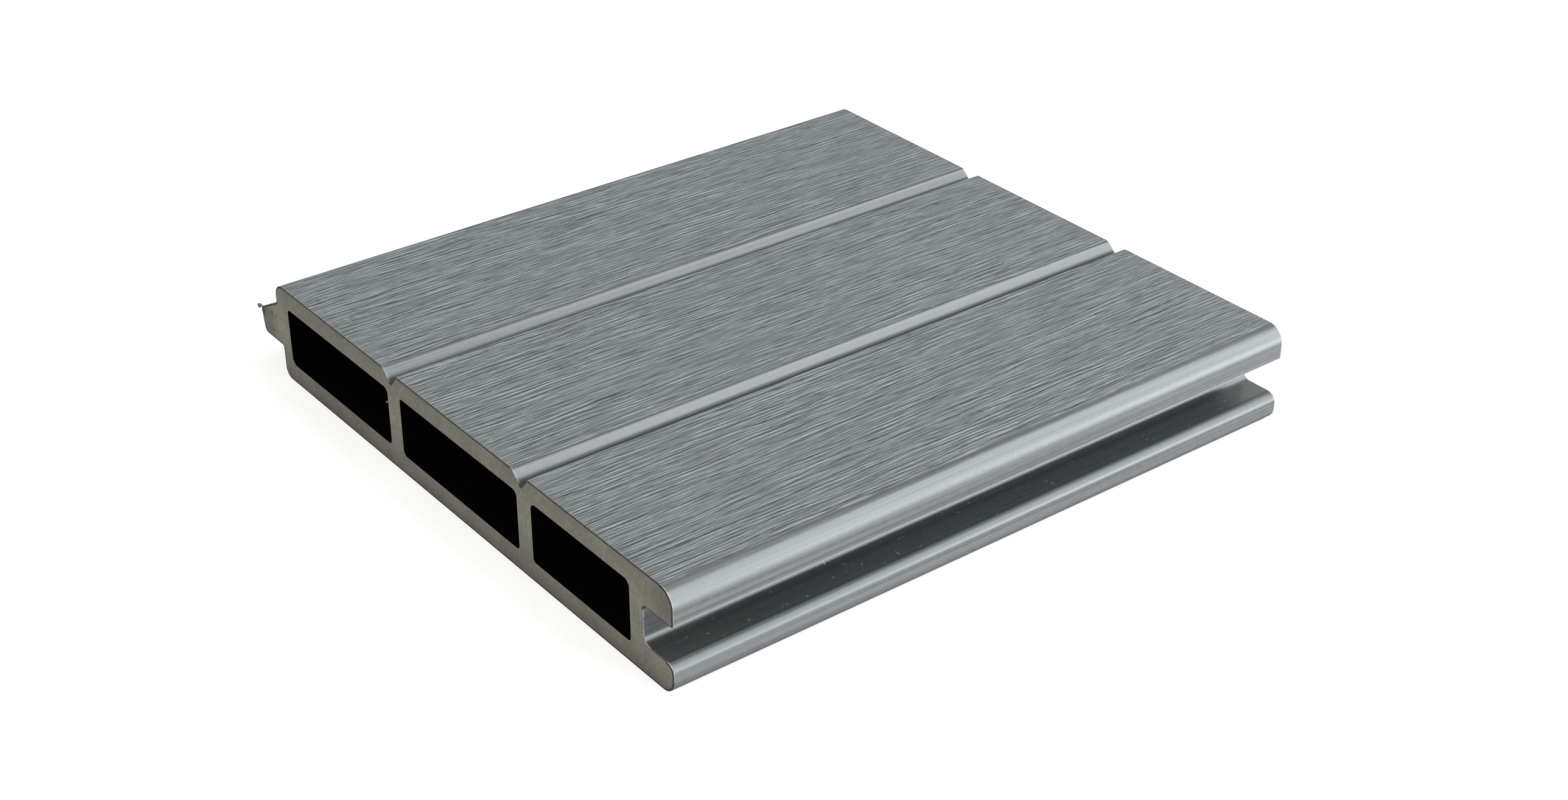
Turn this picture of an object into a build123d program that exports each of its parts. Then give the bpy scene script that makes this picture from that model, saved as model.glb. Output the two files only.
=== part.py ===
# Composite fence board: a short sawn length of hollow extruded tongue-and-groove stock, lying on its back.
# X runs along the board from one sawn end to the other, Y across it from the grooved edge to the tongue,
# and Z up from the back face to the front face. The origin is on the back face, under the middle of the board.
from build123d import *
import math
import os

# Overall sizes, in millimetres
board_length = 150.0
board_thickness = 21.5
face_width = 140.6  # front face, from the grooved edge to the tongued edge
tongue_reach = 7.4  # tongue beyond the front face's edge
back_relief = 1.1  # the back face stops this far short of the front face on the tongued edge

# Walls round the three hollow cells
front_skin = 4.3
back_skin = 4.4
tongue_wall = 4.8  # from the front face's edge to the first cell
web_thickness = 4.65
groove_wall = 3.9  # between the groove and the last cell
web_offset = 0.7  # each web stands this far to the grooved side of the V above it

# V lines that divide the front face into three slats
edge_slat = 46.7  # grooved edge to the first V line
slat_pitch = 46.5
v_depth = 2.5
v_tongue_run = 2.8  # width of the long flank, on the tongue's side
v_groove_run = 2.1  # width of the short flank

# Grooved edge
groove_depth = 8.8
upper_lip = 7.1
lower_lip = 6.4

# Tongued edge
tongue_clearance = 0.7  # tongue above the lower lip that it slides over
tongue_shoulder = 4.7  # front face down to the root of the tongue's slope
tongue_tip_gap = 1.8  # groove's roof down to the top of the tip

# Roundings
lip_nose_radius = 3.6
lip_inner_radius = 0.6
groove_roof_radius = 0.9
groove_floor_radius = 1.8
lower_lip_radius = 2.1
back_lip_radius = 3.2
back_edge_radius = 2.2
front_edge_radius = 3.0
tongue_root_radius = 0.6
tongue_tip_radius = 0.9
v_long_shoulder_radius = 1.2
v_short_shoulder_radius = 0.7
v_root_radius = 0.35
# Each cell's corners: back near the groove, back near the tongue, front near the tongue, front near the groove
cell_radii = [(0.9, 0.7, 1.5, 1.5), (1.0, 1.2, 0.9, 1.3), (1.2, 1.6, 1.0, 1.3)]
side_share = 0.98  # two roundings on one side of the section take at most this share of it

# Places worked out from the sizes, across from the grooved edge and up from the back face
overall_width = face_width + tongue_reach
back_edge = face_width - back_relief
groove_roof = board_thickness - upper_lip
tongue_underside = lower_lip + tongue_clearance
tongue_tip_top = groove_roof - tongue_tip_gap
tongue_root = board_thickness - tongue_shoulder
cell_floor = back_skin
cell_roof = board_thickness - front_skin
v_lines = [edge_slat, edge_slat + slat_pitch]
web_centres = [v - web_offset for v in v_lines]


def rounded_face(corners):
    # A flat face through (across, up, radius) corners. Roundings that don't fit on a side share it out.
    points = [Vector(across, up) for across, up, _ in corners]
    sides = [points[(i + 1) % len(points)] - point for i, point in enumerate(points)]
    turns = [math.radians(sides[i - 1].get_angle(side)) for i, side in enumerate(sides)]
    tangents = [corner[2] * math.tan(turn / 2) for corner, turn in zip(corners, turns)]
    room = [
        min(1, side_share * side.length / (tangents[i] + tangents[(i + 1) % len(sides)]))
        for i, side in enumerate(sides)
    ]
    face = make_face(Polyline(*points, close=True))
    for i, point in enumerate(points):
        radius = corners[i][2] * min(room[i - 1], room[i])
        face = fillet(face.vertices().sort_by_distance(point)[0], radius)
    return face


def v_corners(line):
    # One V line, from its tongue side to its groove side.
    return [
        (line + v_tongue_run, board_thickness, v_long_shoulder_radius),
        (line, board_thickness - v_depth, v_root_radius),
        (line - v_groove_run, board_thickness, v_short_shoulder_radius),
    ]


def cell_face(near_groove, near_tongue, radii):
    corners = [
        (near_groove, cell_floor),
        (near_tongue, cell_floor),
        (near_tongue, cell_roof),
        (near_groove, cell_roof),
    ]
    return rounded_face([(*corner, radius) for corner, radius in zip(corners, radii)])


# The outline, going round from the back of the lower lip
outline = rounded_face(
    [
        (0, 0, back_lip_radius),
        (back_edge, 0, back_edge_radius),
        (back_edge, tongue_underside, tongue_root_radius),
        (overall_width, tongue_underside, tongue_tip_radius),
        (overall_width, tongue_tip_top, tongue_tip_radius),
        (face_width, tongue_root, tongue_root_radius),
        (face_width, board_thickness, front_edge_radius),
        *v_corners(v_lines[1]),
        *v_corners(v_lines[0]),
        (0, board_thickness, lip_nose_radius),
        (0, groove_roof, lip_inner_radius),
        (groove_depth, groove_roof, groove_roof_radius),
        (groove_depth, lower_lip, groove_floor_radius),
        (0, lower_lip, lower_lip_radius),
    ]
)

# The cells lie between the groove's wall, the two webs and the tongue's wall
cell_starts = [groove_depth + groove_wall] + [centre + web_thickness / 2 for centre in web_centres]
cell_ends = [centre - web_thickness / 2 for centre in web_centres] + [face_width - tongue_wall]
section = outline
for start, end, radii in zip(cell_starts, cell_ends, cell_radii):
    section -= cell_face(start, end, radii)

# One extrusion from end to end, centred on the origin
sawn_end = Plane(origin=(-board_length / 2, -overall_width / 2, 0), x_dir=(0, 1, 0), z_dir=(1, 0, 0))
fence_board = extrude(sawn_end * section, board_length)
fence_board.label = "fence_board"

os.makedirs("parts", exist_ok=True)
export_step(fence_board, "parts/fence_board.step")
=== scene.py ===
import math

import bpy
import numpy as np
from mathutils import Matrix, Vector
from mathutils.geometry import delaunay_2d_cdt


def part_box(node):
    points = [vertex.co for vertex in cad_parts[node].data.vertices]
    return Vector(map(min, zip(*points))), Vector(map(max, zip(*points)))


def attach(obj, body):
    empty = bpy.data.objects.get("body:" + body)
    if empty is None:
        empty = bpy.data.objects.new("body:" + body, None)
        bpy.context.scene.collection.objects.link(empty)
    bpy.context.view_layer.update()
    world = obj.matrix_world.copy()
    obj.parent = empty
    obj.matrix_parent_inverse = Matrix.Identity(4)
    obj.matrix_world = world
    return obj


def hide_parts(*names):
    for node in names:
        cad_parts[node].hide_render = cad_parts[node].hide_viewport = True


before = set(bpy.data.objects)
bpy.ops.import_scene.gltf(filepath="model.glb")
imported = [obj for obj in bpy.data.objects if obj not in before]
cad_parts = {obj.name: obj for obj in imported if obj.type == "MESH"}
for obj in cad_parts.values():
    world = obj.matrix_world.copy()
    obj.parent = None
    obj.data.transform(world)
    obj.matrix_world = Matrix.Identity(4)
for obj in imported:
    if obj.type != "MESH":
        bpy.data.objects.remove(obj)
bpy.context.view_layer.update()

mm = 0.001
boardLow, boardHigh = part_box("fence_board")
boardLong, boardWide, boardThick = [(high - low) / mm for low, high in zip(boardLow, boardHigh)]
print("frame loaded: board", round(boardLong, 1), "x", round(boardWide, 1), "x", round(boardThick, 1), "mm")

# Section of the extrusion in mm: y counts from the groove's lip tips to the tongue, z from the back face up
board = {
    "faceWidth": 140.6,
    "backRelief": 1.1,                    # how far the edge under the tongue stands back
    "tongue": (7.1, 12.6, 16.8),          # underside, tip top and root of the sloped top
    "tipLean": (-0.5, 0.35),              # the tip leans back at its underside and out at its top
    "groove": (8.8, 6.4, 14.4),           # depth, floor and roof
    "vLines": (93.2, 46.7),               # where the two V lines have their roots
    "vDepth": 2.5, "vTongueRun": 2.8, "vGrooveRun": 2.1,
    "radii": {"backLip": 3.2, "backEdge": 2.2, "tongueRoot": 0.6, "tipUnder": 1.2, "tipTop": 0.6,
              "frontEdge": 3.0, "vShoulder": 1.2, "vRoot": 0.35, "vCrest": 0.7, "nose": 3.6,
              "lipInner": 0.6, "roofCorner": 0.9, "floorCorner": 1.8, "lowerLip": 2.1},
    "cells": ((12.7, 43.675), (48.325, 90.175), (94.825, 135.8)),
    "cellFloor": 4.4, "cellRoof": 17.2,
    "cellRadii": ((0.9, 0.7, 1.5, 1.5), (1.0, 1.2, 0.9, 1.3), (1.2, 1.6, 1.0, 1.3)),
    "meshSteps": {"face": 0.15, "flank": 0.25, "back": 3.0},      # spacing of points across a surface
    "fewestSteps": 2,
    "turnStep": 6.0,                      # degrees between the points of a rounding
    "fewestTurns": 3,
    "support": 0.18,                      # on a plain surface, points kept this close to the roundings
    "supportRoom": 3,                     # a surface no longer than this many supports has none
    "supportFree": 1.0,                   # its other points stay this far from the roundings
    "rows": 74,                           # steps of the mesh along the board
    "edgeBreak": 0.07,                    # tiny bevel left round a sawn end
    "endRows": (0.0, 0.13, 0.26),         # closer rows beside that bevel
    "endRelief": 0.3,                     # share of the grain's relief left at a sawn edge
    "paleRim": 0.15,                      # where the dark rim is narrower than this, the bevel stays pale
    "glintFade": 0.6,                      # share of the painted glint on the first row past the bevel
}


def turned(ray, angle):
    return np.array((ray[0] * math.cos(angle) - ray[1] * math.sin(angle),
                     ray[0] * math.sin(angle) + ray[1] * math.cos(angle)))


def turnBetween(before, after):
    return math.atan2(before[0] * after[1] - before[1] * after[0], before @ after)


def surfaceMarks(surface, span):
    # distances along a flat surface at which it has points
    step, support, free = board["meshSteps"].get(surface), board["support"], board["supportFree"]
    marks = []
    if step:
        marks = np.linspace(0, span, max(board["fewestSteps"], round(span / step)) + 1)[1:-1]
    if surface not in ("face", "flank") and span > board["supportRoom"] * support:
        marks = sorted([support, span - support, *[mark for mark in marks if free < mark < span - free]])
    return marks


def roundCorners(corners):
    # corners are (y, z, radius, corner, surface after it), counterclockwise
    # gives points, outward normals and names
    points, normals, names = [], [], []
    places = [np.array(corner[:2]) for corner in corners]
    sides = [following - place for place, following in zip(places, places[1:] + places[:1])]
    sides = [side / np.linalg.norm(side) for side in sides]
    turns = [turnBetween(sides[i - 1], side) for i, side in enumerate(sides)]
    reaches = [corner[2] * math.tan(abs(turn) / 2) for corner, turn in zip(corners, turns)]
    for i, (_, _, radius, corner, surface) in enumerate(corners):
        before, after, turn = sides[i - 1], sides[i], turns[i]
        inward = np.array((-before[1], before[0])) * math.copysign(1, turn)
        middle = places[i] - before * reaches[i] + inward * radius
        steps = max(board["fewestTurns"], math.ceil(abs(math.degrees(turn)) / board["turnStep"]))
        for k in range(steps + 1):
            ray = turned(-inward, turn * k / steps)
            points.append(middle + ray * radius)
            normals.append(ray * math.copysign(1, turn))
            names.append(corner)
        following = (i + 1) % len(corners)
        start = places[i] + after * reaches[i]
        span = np.linalg.norm(places[following] - after * reaches[following] - start)
        for mark in surfaceMarks(surface, span):
            points.append(start + after * mark)
            normals.append(np.array((after[1], -after[0])))
            names.append(surface)
    return np.array(points), np.array(normals), np.array(names)


def boardCorners():
    low, tip, root = board["tongue"]
    leanUnder, leanTop = board["tipLean"]
    deep, floor, roof = board["groove"]
    face, back = board["faceWidth"], board["faceWidth"] - board["backRelief"]
    corners = [(0, 0, "backLip", "back"), (back, 0, "backEdge", "wall"),
               (back, low, "tongueRoot", "tongueUnder"),
               (boardWide + leanUnder, low, "tipUnder", "tipFace"),
               (boardWide + leanTop, tip, "tipTop", "tongueTop"),
               (face, root, "tongueRoot", "shoulder"), (face, boardThick, "frontEdge", "face")]
    for line in board["vLines"]:
        corners += [(line + board["vTongueRun"], boardThick, "vShoulder", "flank"),
                    (line, boardThick - board["vDepth"], "vRoot", "shortFlank"),
                    (line - board["vGrooveRun"], boardThick, "vCrest", "face")]
    corners += [(0, boardThick, "nose", "lipFace"), (0, roof, "lipInner", "roof"),
                (deep, roof, "roofCorner", "grooveWall"), (deep, floor, "floorCorner", "slotFloor"),
                (0, floor, "lowerLip", "lowFace")]
    return [(y, z, board["radii"][corner], corner, surface) for y, z, corner, surface in corners]


def cellLoops():
    loops = []
    low, high = board["cellFloor"], board["cellRoof"]
    for (near, far), radii in zip(board["cells"], board["cellRadii"]):
        places = ((near, low), (far, low), (far, high), (near, high))
        corners = [(*place, radius, "cell", "cell") for place, radius in zip(places, radii)]
        loops.append(roundCorners(corners)[0])
    return loops


# Round a sawn end: width of the dark rim in mm, and strength of the pale painted glint where its bevel
# catches light
sawnEdge = {
    "other": (0.36, 0.0), "face": (0.22, 0.0), "vCrest": (0.20, 0.0), "vShoulder": (0.12, 0.3),
    "flank": (0.08, 0.45), "nose": (0.40, 0.9), "lipFace": (0.40, 0.6), "lipInner": (0.30, 0.5),
    "roof": (0.20, 0.0), "roofCorner": (0.20, 0.1), "grooveWall": (0.08, 0.45), "floorCorner": (0.14, 0.55),
    "slotFloor": (0.12, 0.1), "lowerLip": (0.36, 0.7), "lowFace": (0.40, 0.45),
}

# Brushing, painted shade and painted highlights along the board, as shares of a finish
# A facing is the part of a surface's normal that points up, or to the side for the groove's wall
brushingAndPaintedLight = {
    "frontHeight": 4.0,                   # the front's surfaces are within this height of its face
    "backFacing": -0.98,                  # surfaces that face down more than this are the brushed back
    "carved": (0.93, 0.98),               # facings between which the front's relief comes in
    "brushedTongueward": (0.55, 0.60),    # and its brushed finish, on surfaces toward the tongue
    "brushedGrooveward": (0.983, 0.996),
    "shadeLine": 0.36,                     # painted shade: a dark line where the brushing ends above the nose and the V flanks
    "shadeLineIn": (0.90, 0.94), "shadeLineOut": (0.981, 0.993),
    "vReach": 2.0,                        # painted shade lies within this of a V line's root
    "vRoot": (0.60, 1.25, 0.80),          # heights above that root where its painted shade fades, and its share
    "flanks": (0.09, 0.0),                # painted shade on the V lines' long flanks, tongue side first
    "underLip": 0.28,                     # painted shade on the lower lip's rounding, below the groove
    "underLipReach": 2.2, "underLipFacing": (0.55, 0.85),
    "backEdge": 0.7,                      # painted shade along the groove side, just above the back
    "backEdgeReach": 5.0, "backEdgeFade": (1.3, 2.9),
    "grooveMouth": 0.9,                   # the groove's painted shade starts this far behind the lips
    # share of that painted shade on the groove's wall
    "grooveWall": 0.35, "wallFacing": -0.9,
    "slack": 0.1,                         # leeway round the groove
    # degrees that the nose faces up and the lip's inner edge faces down, and how strongly a highlight is
    # painted there
    "nose": ((0, 6, 12, 18, 24), (0.0, 0.10, 0.34, 0.28, 0.0)),
    "lipInner": ((0, 30, 60, 90), (0.09, 0.75, 0.75, 0.0)),
}


def fadeUp(values, low, high):
    return np.clip((values - low) / (high - low), 0, 1)


def eased(values):
    return values * values * (3 - 2 * values)


def shadeShares(y, z, up, names, front, towardTongue):
    # the thickest of the painted shade at each point of the section, apart from the back edge
    floor = board["groove"][1]
    shadeLine = brushingAndPaintedLight["shadeLine"] * front * ~towardTongue * fadeUp(up, *brushingAndPaintedLight["shadeLineIn"])
    shadeLine = shadeLine * (1 - fadeUp(up, *brushingAndPaintedLight["shadeLineOut"]))
    vRoot = boardThick - board["vDepth"]
    inLine = (np.abs(y[:, None] - np.array(board["vLines"])) < brushingAndPaintedLight["vReach"]).any(axis=1) & front
    shadeLow, shadeHigh, shadeShare = brushingAndPaintedLight["vRoot"]
    rootShade = shadeShare * inLine * (1 - fadeUp(z, vRoot + shadeLow, vRoot + shadeHigh))
    flankShade = (names == "flank") * np.interp(y, board["vLines"][::-1], brushingAndPaintedLight["flanks"][::-1])
    lowLip = (y < brushingAndPaintedLight["underLipReach"]) & (z < floor + brushingAndPaintedLight["slack"])
    underLip = brushingAndPaintedLight["underLip"] * lowLip * fadeUp(up, *brushingAndPaintedLight["underLipFacing"])
    return np.maximum.reduce((rootShade, underLip, shadeLine, flankShade))


def sectionLooks(points, normals, names):
    # how each point of the section is finished, and where shade and highlights are painted, from 0 to 1
    (y, z), (side, up) = points.T, normals.T
    deep, floor, roof = board["groove"]
    slack = brushingAndPaintedLight["slack"]
    front = z > boardThick - brushingAndPaintedLight["frontHeight"]
    backFace = up < brushingAndPaintedLight["backFacing"]
    towardTongue = side > 0
    carved = eased(fadeUp(up, *brushingAndPaintedLight["carved"]) * front)
    brushed = front * np.where(towardTongue, fadeUp(up, *brushingAndPaintedLight["brushedTongueward"]),
                               fadeUp(up, *brushingAndPaintedLight["brushedGrooveward"]))
    brushed[backFace] = 1.0
    shadePaint = shadeShares(y, z, up, names, front, towardTongue)
    nearBack = (y < brushingAndPaintedLight["backEdgeReach"]) & ~backFace
    # painted shade along the groove side, just above the back
    backEdge = brushingAndPaintedLight["backEdge"] * nearBack * (1 - fadeUp(z, *brushingAndPaintedLight["backEdgeFade"]))
    # painted shade inside the groove, less of it on the groove's wall
    inGroove = (y > brushingAndPaintedLight["grooveMouth"]) & (y < deep + slack) & (z > floor - slack) & (z < roof + slack)
    grooveShade = inGroove * np.where(side < brushingAndPaintedLight["wallFacing"], brushingAndPaintedLight["grooveWall"], 1.0)
    faces = np.degrees(np.arcsin(np.clip(up, -1, 1)))
    # painted highlights along the nose and the lip's inner edge
    paintedHighlight = (names == "nose") * np.interp(faces, *brushingAndPaintedLight["nose"])
    paintedHighlight += (names == "lipInner") * np.interp(-faces, *brushingAndPaintedLight["lipInner"])
    rim, paintedGlint = np.array([sawnEdge.get(name, sawnEdge["other"]) for name in names]).T
    return {"carved": carved, "brushed": brushed, "paintedHighlight": paintedHighlight, "rim": rim, "paintedGlint": paintedGlint,
            "groove": np.maximum(grooveShade, backEdge), "paintedShade": np.maximum(shadePaint, backEdge)}


# Brushed grain of the front: short wavering scratches along the board, in mm
grain = {
    "seed": 41,
    "perSquare": 1.25,                    # scratches in a square mm
    "endMargin": 5.0, "sideMargin": 1.0,  # how far beyond the brushed surfaces they may lie
    "halfLength": 4.6, "lengthSpread": 0.6,
    "longest": 4,                         # the longest ones are followed for this many half lengths
    "cutOff": 1.9,                        # each one ends at this many of its own half lengths
    "width": (0.11, 0.26),
    "depth": 0.047,
    "ridges": (0.3, -0.6),                # share of them that stand up, and the factor on their depth
    "patches": 0.45,                      # how much harder and softer some patches are brushed
    "patchWaves": (19.0, 11.0, 7.3, 41.0),        # along, bend, across and drift of the patches
    "patchBend": 1.3,
    "fade": (1.12, 0.52),                 # share of the depth at the near and the far end
    "slope": 0.022,
    "sway": ((0.18, 41.0, 15.0), (0.09, 21.0, -11.0), (0.03, 11.0, 23.0)),   # size, wave along, wave across
    "columns": 8,                         # mesh points to each side that a scratch moves
    "deepest": 0.20, "highest": 0.10,
}


def drawScratches(xs, ys):
    # middles, half lengths, slopes, widths and depths of seeded scratches over rows xs and columns ys
    rng = np.random.default_rng(grain["seed"])
    endMargin, sideMargin = grain["endMargin"], grain["sideMargin"]
    low, high = ys.min() - sideMargin, ys.max() + sideMargin
    total = int(grain["perSquare"] * (high - low) * (xs[-1] - xs[0] + 2 * endMargin))
    midX = rng.uniform(xs[0] - endMargin, xs[-1] + endMargin, total)
    midY = rng.uniform(low, high, total)
    reach = grain["halfLength"] * np.exp(rng.normal(0, grain["lengthSpread"], total))
    slope = rng.normal(0, grain["slope"], total)
    wide = rng.uniform(*grain["width"], total)
    depth = -rng.exponential(grain["depth"], total)
    ridgeShare, ridgeFactor = grain["ridges"]
    depth *= np.where(rng.random(total) < ridgeShare, ridgeFactor, 1.0)
    longWave, bendWave, crossWave, driftWave = grain["patchWaves"]
    patch = np.sin(midX / longWave + grain["patchBend"] * np.sin(midY / bendWave))
    patch = patch * np.sin(midY / crossWave + midX / driftWave)
    depth *= 1 + grain["patches"] * patch
    depth *= np.interp(midX, (xs[0], xs[-1]), grain["fade"])
    return midX, midY, reach, slope, wide, depth


def grainHeight(xs, ys):
    # height of the brushed relief at rows xs and columns ys
    midX, midY, reach, slope, wide, depth = drawScratches(xs, ys)
    height = np.zeros((len(xs), len(ys)))
    order = np.argsort(ys)
    sortedY = ys[order]
    rowStep = xs[1] - xs[0]
    span = int(grain["halfLength"] * grain["longest"] / rowStep) + 1
    middleRow = np.round((midX - xs[0]) / rowStep).astype(int)
    for k in range(-span, span + 1):
        row = middleRow + k
        inside = (row >= 0) & (row < len(xs))
        row, scratch = row[inside], np.nonzero(inside)[0]
        away = xs[row] - midX[scratch]
        near = np.abs(away) < grain["cutOff"] * reach[scratch]
        row, scratch, away = row[near], scratch[near], away[near]
        if not len(row):
            continue
        line = midY[scratch] + slope[scratch] * away
        for size, along, across in grain["sway"]:
            line = line + size * np.sin(2 * math.pi * (xs[row] / along + midY[scratch] / across))
        fade = np.exp(-(away / reach[scratch]) ** 2) * depth[scratch]
        nearest = np.searchsorted(sortedY, line)
        for step in range(-grain["columns"], grain["columns"] + 1):
            column = nearest + step
            there = (column >= 0) & (column < len(ys))
            off = (sortedY[column[there]] - line[there]) / wide[scratch[there]]
            cut = fade[there] * (1 - off ** 2) * np.exp(-off ** 2 / 2)    # raised along both its edges
            np.add.at(height, (row[there], order[column[there]]), cut)
    height -= np.median(height)
    return np.clip(height, -grain["deepest"], grain["highest"])


# Shavings that the saw left at the near end: a curl and a flap on the tongue's tip, and a sliver in the cell
# beside it, as places of the section and half thicknesses in mm
shavings = {
    "curl": {"path": ((147.6, 12.1), (148.4, 12.35), (149.0, 12.45), (149.7, 12.4), (150.3, 12.15),
                      (150.6, 11.85), (150.3, 11.65), (149.8, 11.75), (149.4, 12.05)),
             "thick": (0.34, 0.22, 0.20, 0.26, 0.28, 0.28, 0.27, 0.24, 0.16)},
    "flap": {"path": ((146.9, 12.5), (147.7, 12.1), (148.5, 11.6), (149.1, 11.15)),
             "thick": (0.12, 0.26, 0.24, 0.08)},
    "sliver": {"path": ((94.7, 13.9), (95.2, 14.0), (95.7, 13.85), (96.1, 13.55), (96.4, 13.2)),
               "thick": (0.20, 0.20, 0.16, 0.14, 0.10)},
}
shavingCut = {
    "behind": 0.35,                       # from the sawn end to a shaving's middle
    "flatness": 0.8,                      # its size along the board, as a share of its thickness
    "sides": 8,
}


def shaving(facts):
    # a closed thin tube along its path, just behind the near sawn end; gives points and faces
    path, sides = np.array(facts["path"]), shavingCut["sides"]
    behind = -boardLong / 2 + shavingCut["behind"]
    points, faces = [], []
    for (y, z), (runY, runZ), thick in zip(path, np.gradient(path, axis=0), facts["thick"]):
        run = math.hypot(runY, runZ)
        for k in range(sides):
            angle = 2 * math.pi * k / sides
            across = thick * math.cos(angle)
            deep = shavingCut["flatness"] * thick * math.sin(angle)
            points.append((behind + deep, y - across * runZ / run, z + across * runY / run))
    for ring in range(len(path) - 1):
        for k in range(sides):
            here, after = ring * sides + k, ring * sides + (k + 1) % sides
            faces.append((here, after, after + sides, here + sides))
    last = (len(path) - 1) * sides
    faces += [tuple(range(sides - 1, -1, -1)), tuple(range(last, last + sides))]
    return np.array(points), faces


finishes = ("skin", "sawn", "rim", "cell")        # order of the board's material slots


def addFaces(mesh, faces, finish, smooth):
    mesh["faces"].extend(np.asarray(face).tolist() for face in faces)
    mesh["finish"].extend([finishes.index(finish)] * len(faces))
    mesh["smooth"].extend([smooth] * len(faces))


def addPoints(mesh, points):
    start = mesh["count"]
    mesh["blocks"].append(points)
    mesh["count"] += len(points)
    return start


def strip(first, second, count, flip=False):
    # quads between two closed rings of points, which start at the points first and second
    here = np.arange(count)
    after = (here + 1) % count
    quads = [first + here, first + after, second + after, second + here]
    if flip:
        quads = [quads[0], *quads[:0:-1]]
    return np.stack(quads, axis=1)


def boardRows():
    # even rows along the board, and all rows with the closer ones at the sawn ends
    half, close = boardLong / 2, np.array(board["endRows"])
    even = np.linspace(-half + board["edgeBreak"], half - board["edgeBreak"], board["rows"] + 1)
    return even, np.concatenate(([-half], even[0] + close, even[1:-1], even[-1] - close[::-1], [half]))


def grainRelief(even, xs, points, carved):
    # relief of every row, weaker at the sawn ends
    close = len(board["endRows"])
    grained = np.nonzero(carved > 0)[0]
    height = grainHeight(even, points[grained, 0]) * carved[grained]
    relief = np.zeros((len(xs), len(points)))
    relief[:, grained] = height[np.clip(np.arange(len(xs)) - close, 0, len(even) - 1)]
    relief[:close + 1] *= board["endRelief"]
    relief[-close - 1:] *= board["endRelief"]
    return relief


def addSkin(mesh, skin, rim):
    # the outside, and the bevels round both sawn ends
    rows, count = skin.shape[:2]
    addPoints(mesh, skin.reshape(-1, 3))
    pale = rim < board["paleRim"]
    pale = pale & np.roll(pale, -1)
    for row in range(rows - 1):
        quads = strip(row * count, (row + 1) * count, count)
        if 0 < row < rows - 2:
            addFaces(mesh, quads, "skin", True)
        else:
            addFaces(mesh, quads[pale], "skin", False)
            addFaces(mesh, quads[~pale], "rim", False)


def addSawnFace(mesh, end, ring, ringStart, cells, cellStarts):
    # one sawn end, with the three cells left open
    loops = [ring] + cells
    index, edges, first = [], [], 0
    for start, loop in zip([ringStart] + cellStarts, loops):
        index += range(start, start + len(loop))
        edges += [(first + n, first + (n + 1) % len(loop)) for n in range(len(loop))]
        first += len(loop)
    flat = [Vector(place) for loop in loops for place in loop]
    insideOutline, sameSpot = 2, 1e-7             # kind of triangles wanted, mm within which points are one
    made, _, triangles, origin, _, _ = delaunay_2d_cdt(flat, edges, [], insideOutline, sameSpot)
    back = [index[sources[0]] for sources in origin]
    kept = []
    for triangle in triangles:
        midY, midZ = np.mean([made[corner] for corner in triangle], axis=0)
        level = board["cellFloor"] < midZ < board["cellRoof"]
        if not (level and any(near < midY < far for near, far in board["cells"])):
            kept.append([back[corner] for corner in (triangle if end else reversed(triangle))])
    addFaces(mesh, kept, "sawn", False)


def addEnds(mesh, skin, normals, rim):
    # dark rims round the sawn ends, the cells' walls and the sawn faces
    rows, count = skin.shape[:2]
    rings, ringStarts = [], []
    for end, row in enumerate((0, rows - 1)):
        ring = skin[row].copy()
        ring[:, 1:] -= normals * rim[:, None]
        ringStarts.append(addPoints(mesh, ring))
        rings.append(ring[:, 1:])
        addFaces(mesh, strip(row * count, ringStarts[end], count, flip=end == 0), "rim", False)
    cells, cellStarts = cellLoops(), ([], [])
    for loop in cells:
        for x, starts in zip((-boardLong / 2, boardLong / 2), cellStarts):
            starts.append(addPoints(mesh, np.column_stack((np.full(len(loop), x), loop))))
        addFaces(mesh, strip(cellStarts[0][-1], cellStarts[1][-1], len(loop), flip=True), "cell", True)
    for end in (0, 1):
        addSawnFace(mesh, end, rings[end], ringStarts[end], cells, cellStarts[end])


def buildBoard():
    points, normals, names = roundCorners(boardCorners())
    looks = sectionLooks(points, normals, names)
    even, xs = boardRows()
    relief = grainRelief(even, xs, points, looks["carved"])
    lift = relief.copy()
    lift[[0, -1]] -= board["edgeBreak"]
    along = np.broadcast_to(xs[:, None, None], (*relief.shape, 1))
    across = points[None] + normals[None] * lift[:, :, None]
    skin = np.concatenate((along, across), axis=2)

    mesh = {"blocks": [], "faces": [], "finish": [], "smooth": [], "count": 0}
    addSkin(mesh, skin, looks["rim"])
    addEnds(mesh, skin, normals, looks["rim"])
    for facts in shavings.values():
        tube, tubeFaces = shaving(facts)
        start = addPoints(mesh, tube)
        addFaces(mesh, [[corner + start for corner in face] for face in tubeFaces], "sawn", True)

    # painted glint along the bevels round both sawn ends
    glintShare = np.zeros((len(xs), 1))
    glintShare[[0, 1, -2, -1]] = 1.0                    # both rows of each bevel
    glintShare[[2, -3]] = board["glintFade"]
    plain = ("brushed", "groove", "paintedShade", "paintedHighlight")               # the same all along the board
    layers = {name: np.broadcast_to(looks[name], relief.shape) for name in plain}
    layers["grain"] = relief / grain["deepest"]
    layers["paintedGlint"] = glintShare * looks["paintedGlint"]
    return boardObject(mesh, layers)


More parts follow.
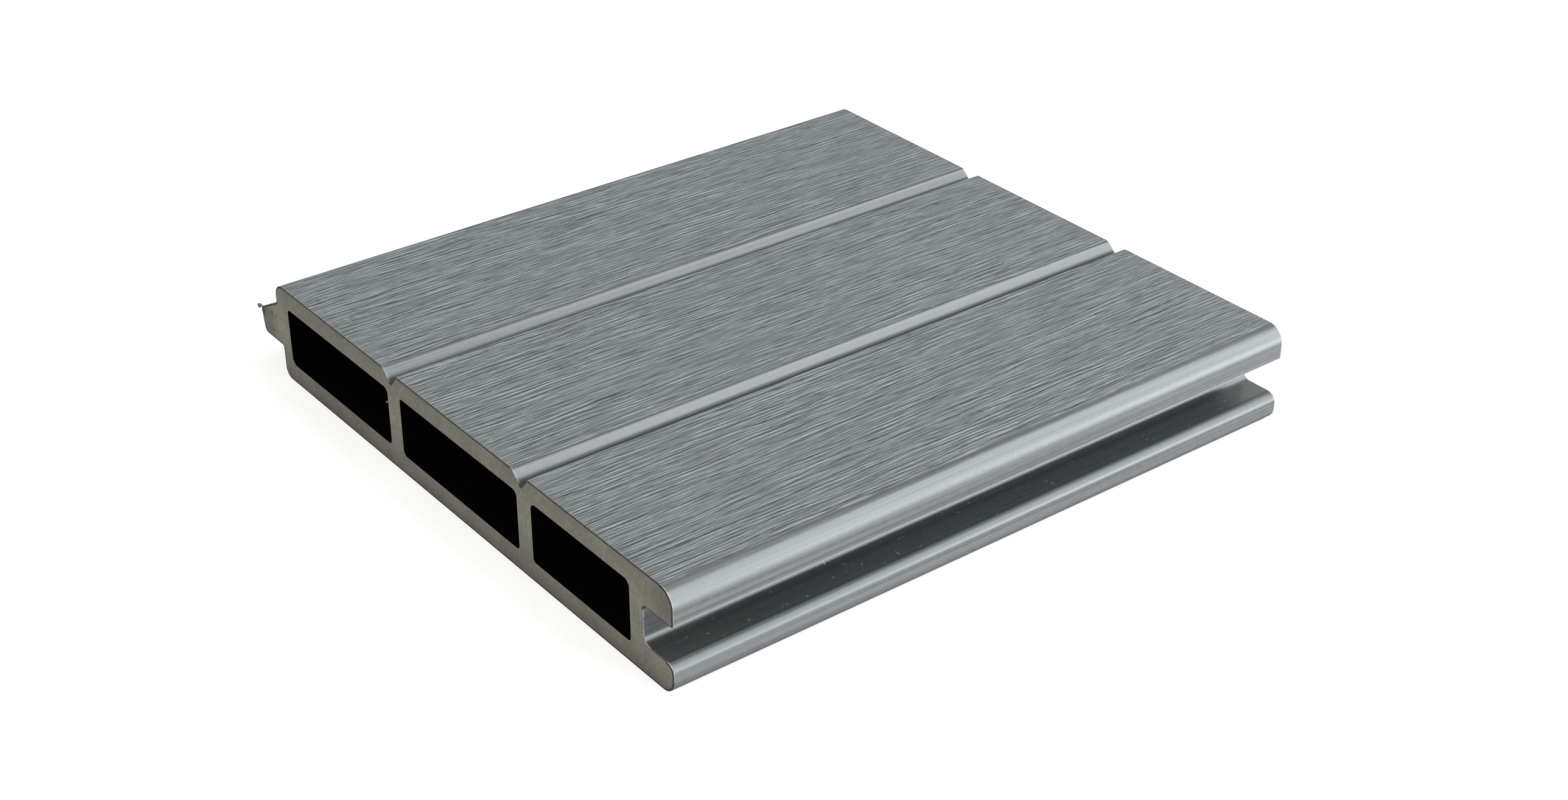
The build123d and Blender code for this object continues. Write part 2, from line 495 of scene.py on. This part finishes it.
def boardObject(mesh, layers):
    points = np.concatenate(mesh["blocks"]) * mm
    points[:, 1] += boardLow.y
    points[:, 2] += boardLow.z
    data = bpy.data.meshes.new("fence_board_grained")
    data.from_pydata(points.tolist(), [], mesh["faces"])
    data.polygons.foreach_set("material_index", mesh["finish"])
    data.polygons.foreach_set("use_smooth", mesh["smooth"])
    for name, values in layers.items():           # finishes of the skin and its painted shade and highlights, which its material reads
        layer = data.attributes.new(name, "FLOAT", "POINT")
        full = np.zeros(len(points), np.float32)
        full[:values.size] = np.ravel(values)
        layer.data.foreach_set("value", full)
    data.update()
    print("board mesh:", len(points), "points,", sum(len(face) - 2 for face in mesh["faces"]), "triangles")
    made = bpy.data.objects.new("grained_board", data)
    bpy.context.scene.collection.objects.link(made)
    return made


def newMaterial(name):
    material = bpy.data.materials.new(name)
    material.use_nodes = True
    return material, material.node_tree, material.node_tree.nodes["Principled BSDF"]


def addNode(tree, kind, settings=None, **inputs):
    # inputs are socket values, or outputs of other nodes to link; i0, i1 and so on are sockets by number
    node = tree.nodes.new("ShaderNode" + kind)
    for name, value in (settings or {}).items():
        setattr(node, name, value)
    for name, value in inputs.items():
        numbered = name[0] == "i" and name[1:].isdigit()
        socket = node.inputs[int(name[1:]) if numbered else name]
        if isinstance(value, bpy.types.NodeSocket):
            tree.links.new(value, socket)
        else:
            socket.default_value = value
    return node


def attribute(tree, name):
    return addNode(tree, "Attribute", {"attribute_name": name}).outputs["Fac"]


def objectPlace(tree):
    return addNode(tree, "TexCoord").outputs["Object"]


def noise(tree, place, scale, detail=2.0, roughness=0.5, output="Fac"):
    node = addNode(tree, "TexNoise", Vector=place, Scale=scale, Detail=detail, Roughness=roughness)
    return node.outputs[output]


def stretchedNoise(tree, place, scale, turn=(0.0, 0.0, 0.0)):
    # noise drawn out by a different scale along each axis, and turned by degrees
    rotation = [math.radians(degrees) for degrees in turn]
    mapped = addNode(tree, "Mapping", Vector=place, Scale=scale, Rotation=rotation)
    return noise(tree, mapped.outputs[0], 1.0)


def maths(tree, operation, *values):
    inputs = {"i%d" % number: value for number, value in enumerate(values)}
    return addNode(tree, "Math", {"operation": operation}, **inputs).outputs[0]


def mixValues(tree, share, first, second):
    return addNode(tree, "Mix", {"data_type": "FLOAT"}, i0=share, i2=first, i3=second).outputs[0]


def mixColours(tree, share, first, second, blend="MIX"):
    settings = {"data_type": "RGBA", "blend_type": blend}
    return addNode(tree, "Mix", settings, i0=share, i6=first, i7=second).outputs[2]


def mixNormals(tree, share, first, second):
    return addNode(tree, "Mix", {"data_type": "VECTOR"}, i0=share, i4=first, i5=second).outputs[1]


def between(tree, value, low, high, start=0.0, stop=1.0):
    # takes start to stop over to low to high
    return addNode(tree, "MapRange", i0=value, i1=start, i2=stop, i3=low, i4=high).outputs[0]


def bump(tree, height, strength, distance):
    return addNode(tree, "Bump", Strength=strength, Distance=distance, Height=height).outputs[0]


def ramp(tree, source, stops):
    node = addNode(tree, "ValToRGB", Fac=source)
    elements = node.color_ramp.elements
    while len(elements) < len(stops):
        elements.new(0.5)                         # moved to its place below
    for element, (place, shade) in zip(elements, stops):
        element.position = place
        element.color = (*shade, 1)
    return node.outputs["Color"]


def setFinish(shader, roughness, shine):
    shader.inputs["Roughness"].default_value = roughness
    shader.inputs["Specular IOR Level"].default_value = shine


# Noises are scale, detail and roughness, stretched ones a scale for each axis, and bumps strength and metres
skinLook = {
    "brushed": ((0.22, (0.082, 0.090, 0.091)), (0.49, (0.194, 0.209, 0.211)), (0.78, (0.349, 0.371, 0.374))),
    "smooth": ((0.30, (0.052, 0.058, 0.059)), (0.70, (0.146, 0.158, 0.159))),
    # colours of the smooth skin under the groove's painted shade
    "groove": ((0.35, (0.040, 0.045, 0.045)), (0.65, (0.054, 0.060, 0.060))),
    "brushedRoughness": (0.68, 0.52), "smoothRoughness": (0.20, 0.36), "shadeRoughness": 0.8,
    "smoothShine": 0.9, "brushedShine": 0.35, "shadeShine": 0.02,
    "swayNoise": (70.0, 2.0, 0.5), "sway": (0.0, 0.0005, 0.0005),         # metres
    "streaks": (110.0, 1900.0, 1900.0),
    "fibres": (260.0, 4600.0, 4600.0), "fibreTurn": (0.0, 0.0, 1.5),
    "fibreShare": 0.33,                   # of the fibres against the streaks
    "reliefShadeShare": 0.45,                  # how much the carved grain's relief darkens its scratches and lightens its ridges in the brushed colour: partly the grain's own tone, partly painted shade and highlight
    "mottle": (900.0, 3.0, 0.6), "drawnLines": (11.0, 2400.0, 2400.0),
    "drawnShare": 0.8,                    # of the drawn lines against the mottle
    "speckNoise": (1300.0, 0.0, 0.5), "speckLevels": (0.79, 0.84), "speckShare": 0.5,
    "ragged": 0.7,                        # how far the streaks fray the end of the brushing
    "glintNoise": (600.0, 2.0, 0.6), "glintLevels": (0.35, 0.60), "leastGlint": 0.15,
    "brushedBump": (1.0, 0.0010), "smoothBump": (0.40, 0.0001),
    # colours of the specks of dust, and of the painted shade
    "speck": (0.36, 0.37, 0.36, 1.0), "shadePaint": (0.022, 0.025, 0.025, 1.0),
    # pale colours of the painted glint and the painted highlight
    "paintedGlint": (0.60, 0.62, 0.61, 1.0), "paintedHighlight": (0.59, 0.62, 0.625, 1.0),
}


def skinMaterial():
    material, tree, shader = newMaterial("brushed_composite")
    link = tree.links.new
    place = objectPlace(tree)
    # sway of the fibres, then two stretched noises along the board
    sway = noise(tree, place, *skinLook["swayNoise"], output="Color")
    swayed = addNode(tree, "VectorMath", {"operation": "MULTIPLY_ADD"},
                     i0=sway, i1=skinLook["sway"], i2=place).outputs[0]
    streak = stretchedNoise(tree, swayed, skinLook["streaks"])
    fine = stretchedNoise(tree, swayed, skinLook["fibres"], skinLook["fibreTurn"])
    fibres = mixValues(tree, skinLook["fibreShare"], streak, fine)
    lifted = maths(tree, "MULTIPLY_ADD", attribute(tree, "grain"), skinLook["reliefShadeShare"], fibres)
    brushedColour = ramp(tree, lifted, skinLook["brushed"])
    # smooth skin: mottle and lines that the die drew, with painted shade in the groove
    mottle = noise(tree, place, *skinLook["mottle"])
    drawn = stretchedNoise(tree, place, skinLook["drawnLines"])
    smooth = mixValues(tree, skinLook["drawnShare"], mottle, drawn)
    grooveShade = attribute(tree, "groove")
    smoothColour = mixColours(tree, grooveShade, ramp(tree, smooth, skinLook["smooth"]),
                              ramp(tree, smooth, skinLook["groove"]))
    # specks of dust that settled in the groove
    dots = noise(tree, place, *skinLook["speckNoise"])
    specks = between(tree, dots, 0.0, skinLook["speckShare"], *skinLook["speckLevels"])
    specks = maths(tree, "MULTIPLY", grooveShade, specks)
    smoothColour = mixColours(tree, specks, smoothColour, skinLook["speck"])
    # the brushing stops along a ragged line
    frayed = maths(tree, "MULTIPLY_ADD", streak, skinLook["ragged"], attribute(tree, "brushed"))
    edge = between(tree, frayed, 0.0, 1.0, skinLook["ragged"], 1.0)
    colour = mixColours(tree, edge, smoothColour, brushedColour)
    # painted shade in the V lines' roots, under the lower lip, along the back edge and above the nose,
    # painted highlights on the nose and the lip's inner edge, and a pale painted glint round a smooth edge
    # of the sawn ends
    paintedShade = attribute(tree, "paintedShade")
    colour = mixColours(tree, paintedShade, colour, skinLook["shadePaint"])
    # painted highlight on the nose and the lip's inner edge
    colour = mixColours(tree, attribute(tree, "paintedHighlight"), colour, skinLook["paintedHighlight"])
    # painted glint round the sawn edges, broken up by noise
    broken = noise(tree, place, *skinLook["glintNoise"])
    left = between(tree, broken, skinLook["leastGlint"], 1.0, *skinLook["glintLevels"])
    glintShare = maths(tree, "MULTIPLY", attribute(tree, "paintedGlint"), left)
    link(mixColours(tree, glintShare, colour, skinLook["paintedGlint"]), shader.inputs["Base Color"])
    roughness = mixValues(tree, edge, between(tree, smooth, *skinLook["smoothRoughness"]),
                          between(tree, fibres, *skinLook["brushedRoughness"]))
    link(between(tree, paintedShade, roughness, skinLook["shadeRoughness"]), shader.inputs["Roughness"])
    shine = between(tree, edge, skinLook["smoothShine"], skinLook["brushedShine"])
    link(between(tree, paintedShade, shine, skinLook["shadeShine"]), shader.inputs["Specular IOR Level"])
    brushedBump = bump(tree, fibres, *skinLook["brushedBump"])
    smoothBump = bump(tree, smooth, *skinLook["smoothBump"])
    link(mixNormals(tree, edge, smoothBump, brushedBump), shader.inputs["Normal"])
    return material


sawnLook = {
    "sawn": ((0.32, (0.157, 0.153, 0.127)), (0.5, (0.224, 0.218, 0.182)), (0.68, (0.305, 0.296, 0.252))),
    # how much the sawn end is lightened or darkened by height in the board: lighter in the middle, and
    # painted shade darker towards the bottom edge
    "toneAndShadeByHeight": ((0.0, (0.52, 0.52, 0.52)), (0.11, (0.75, 0.75, 0.75)), (0.50, (1.08, 1.08, 1.08)),
             (0.85, (0.82, 0.82, 0.82)), (1.0, (0.76, 0.76, 0.76))),
    "flour": (1500.0, 4.0, 0.65), "cloud": (160.0, 3.0, 0.55), "cloudShare": 0.35,
    "sawMarks": (1.0, 1400.0, 110.0), "sawTurn": (8.0, 0.0, 0.0), "sawShare": 0.16,
    # darker spots on the near end: small smudges on the tongue and wide soft darkening over the tongue, the
    # upper lip, behind the groove and along the bottom; y from the lip tips, z, reach and strength
    "marks": ((147.5, 12.0, 1.5, 0.90), (143.4, 13.1, 1.0, 0.55), (141.8, 12.9, 0.8, 0.40),
              (143.5, 9.1, 1.0, 0.35), (147.5, 10.0, 9.0, 0.44), (2.0, 18.0, 8.0, 0.26),
              (10.5, 11.0, 5.0, 0.16), (118.0, 2.0, 24.0, 0.12)),
    "markShade": (0.018, 0.018, 0.016, 1.0),
    "bump": (0.35, 0.00015), "roughness": 0.85, "shine": 0.25,
}


def sawnMaterial():
    material, tree, shader = newMaterial("sawn_composite")
    place = objectPlace(tree)
    flour, cloud = noise(tree, place, *sawnLook["flour"]), noise(tree, place, *sawnLook["cloud"])
    sawMarks = stretchedNoise(tree, place, sawnLook["sawMarks"], sawnLook["sawTurn"])
    mixed = mixValues(tree, sawnLook["cloudShare"], flour, cloud)
    mixed = mixValues(tree, sawnLook["sawShare"], mixed, sawMarks)
    up = addNode(tree, "SeparateXYZ", Vector=place).outputs["Z"]
    toneAndShadeByHeight = ramp(tree, between(tree, up, 0.0, 1.0, boardLow.z, boardHigh.z), sawnLook["toneAndShadeByHeight"])
    colour = mixColours(tree, 1.0, ramp(tree, mixed, sawnLook["sawn"]), toneAndShadeByHeight, "MULTIPLY")
    for y, z, reach, strength in sawnLook["marks"]:
        spot = (boardLow.x, boardLow.y + y * mm, boardLow.z + z * mm)
        away = addNode(tree, "VectorMath", {"operation": "DISTANCE"}, i0=place, i1=spot)
        fade = addNode(tree, "MapRange", {"interpolation_type": "SMOOTHSTEP"}, i0=away.outputs["Value"],
                       i1=0.0, i2=reach * mm, i3=strength, i4=0.0)
        colour = mixColours(tree, fade.outputs[0], colour, sawnLook["markShade"])
    tree.links.new(colour, shader.inputs["Base Color"])
    tree.links.new(bump(tree, mixed, *sawnLook["bump"]), shader.inputs["Normal"])
    setFinish(shader, sawnLook["roughness"], sawnLook["shine"])
    return material


rimLook = {
    "shades": ((0.35, (0.018, 0.018, 0.016)), (0.65, (0.048, 0.047, 0.042))),
    "flour": (1300.0, 3.0, 0.6), "roughness": 0.8, "shine": 0.25,
}


def rimMaterial():
    material, tree, shader = newMaterial("sawn_rim")
    flour = noise(tree, objectPlace(tree), *rimLook["flour"])
    tree.links.new(ramp(tree, flour, rimLook["shades"]), shader.inputs["Base Color"])
    setFinish(shader, rimLook["roughness"], rimLook["shine"])
    return material


# the cells' walls are painted near black: painted shade deep inside the cells
cellShadeLook = {
    "shades": ((0.35, (0.0003, 0.0005, 0.0004)), (0.65, (0.0009, 0.0012, 0.0010))),
    "lines": (25.0, 900.0, 900.0), "roughness": 0.9, "shine": 0.01,
}


def cellShadeMaterial():
    material, tree, shader = newMaterial("painted_shade_cell_wall")
    lines = stretchedNoise(tree, objectPlace(tree), cellShadeLook["lines"])
    tree.links.new(ramp(tree, lines, cellShadeLook["shades"]), shader.inputs["Base Color"])
    setFinish(shader, cellShadeLook["roughness"], cellShadeLook["shine"])
    return material


grainedBoard = buildBoard()
makers = {"skin": skinMaterial, "sawn": sawnMaterial, "rim": rimMaterial, "cell": cellShadeMaterial}
for finish in finishes:
    grainedBoard.data.materials.append(makers[finish]())
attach(grainedBoard, "root")
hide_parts("fence_board")
print("board finished")

studio = {
    "aim": (-0.0099, -0.0208, 0.0107),
    "overhead": {"place": (-0.10, 0.05, 1.15), "size": (1.1, 1.1), "power": 2.0, "tint": (1.0, 1.0, 1.0)},
    "right": {"place": (0.70, -0.72, 0.60), "size": (1.20, 1.35), "power": 19.8, "tint": (0.935, 0.99, 1.0)},
    "low": {"place": (0.80, -1.05, 0.14), "size": (1.3, 0.30), "power": 3.0, "tint": (0.935, 0.99, 1.0)},
    "left": {"place": (-1.0, -0.30, 0.45), "size": (0.7, 0.6), "power": 4.6, "tint": (1.0, 0.97, 0.90)},
    "surround": 0.26,                     # strength of the world's light
    "floorSide": 4.0, "floorShade": 0.78, "floorGlow": 0.62, "floorRoughness": 0.9, "floorShine": 0.1,
    "floorGap": 0.0001,                   # keeps the floor clear of the back face
    "white": (1.0, 1.0, 1.0, 1.0),
}


def softBox(name):
    facts = studio[name]
    lamp = bpy.data.lights.new("softbox_" + name, "AREA")
    lamp.shape = "RECTANGLE"
    lamp.size, lamp.size_y = facts["size"]
    lamp.energy = facts["power"]
    lamp.color = facts["tint"]
    holder = bpy.data.objects.new("softbox_" + name, lamp)
    holder.location = facts["place"]
    holder.rotation_mode = "QUATERNION"
    holder.rotation_quaternion = (Vector(studio["aim"]) - holder.location).to_track_quat("-Z", "Y")
    bpy.context.scene.collection.objects.link(holder)


def seenDirectly(tree):
    # 1 for rays from the camera or mirrored and passed through by the object
    rays = addNode(tree, "LightPath").outputs
    shown = maths(tree, "MAXIMUM", rays["Is Camera Ray"], rays["Is Glossy Ray"])
    return maths(tree, "MAXIMUM", shown, rays["Is Transmission Ray"])


def buildWorld(scene):
    world = bpy.data.worlds.new("studio") if scene.world is None else scene.world
    scene.world = world
    world.use_nodes = True
    tree = world.node_tree
    tree.nodes.clear()
    soft = addNode(tree, "Background", Color=studio["white"], Strength=studio["surround"])
    white = addNode(tree, "Background", Color=studio["white"], Strength=1.0)
    mixed = addNode(tree, "MixShader", i0=seenDirectly(tree), i1=soft.outputs[0], i2=white.outputs[0])
    addNode(tree, "OutputWorld", Surface=mixed.outputs[0])


def buildFloor(scene):
    mesh = bpy.data.meshes.new("floor")
    side = studio["floorSide"]
    corners = [(-side, -side, 0), (side, -side, 0), (side, side, 0), (-side, side, 0)]
    mesh.from_pydata(corners, [], [(0, 1, 2, 3)])
    floor = bpy.data.objects.new("floor", mesh)
    floor.location.z = boardLow.z - studio["floorGap"]
    scene.collection.objects.link(floor)
    material, tree, shader = newMaterial("white_floor")
    shader.inputs["Base Color"].default_value = (*[studio["floorShade"]] * 3, 1)
    shader.inputs["Emission Color"].default_value = studio["white"]
    setFinish(shader, studio["floorRoughness"], studio["floorShine"])
    glow = between(tree, seenDirectly(tree), 0.0, studio["floorGlow"])
    tree.links.new(glow, shader.inputs["Emission Strength"])
    mesh.materials.append(material)


def buildStudio():
    scene = bpy.context.scene
    scene.view_settings.view_transform = "Standard"
    buildWorld(scene)
    for name in ("overhead", "right", "low", "left"):
        softBox(name)
    buildFloor(scene)
    print("studio set")


camera = {
    "place": (-0.256939, -0.336057, 0.246155), "aim": (-0.009919, -0.020787, 0.0107),
    "lens": 53.93, "sensor": 36.0, "roll": 0.2476, "clip": (0.01, 20.0),
}


def buildCamera():
    data = bpy.data.cameras.new("photo_camera")
    data.sensor_fit = "HORIZONTAL"
    data.sensor_width = camera["sensor"]
    data.lens = camera["lens"]
    data.clip_start, data.clip_end = camera["clip"]
    eye = bpy.data.objects.new("photo_camera", data)
    toward = Vector(camera["aim"]) - Vector(camera["place"])
    turn = toward.to_track_quat("-Z", "Y").to_matrix().to_4x4()
    roll = Matrix.Rotation(math.radians(camera["roll"]), 4, "Z")
    eye.matrix_world = Matrix.Translation(camera["place"]) @ (turn @ roll)
    bpy.context.scene.collection.objects.link(eye)
    bpy.context.scene.camera = eye
    print("camera placed")


buildStudio()
buildCamera()
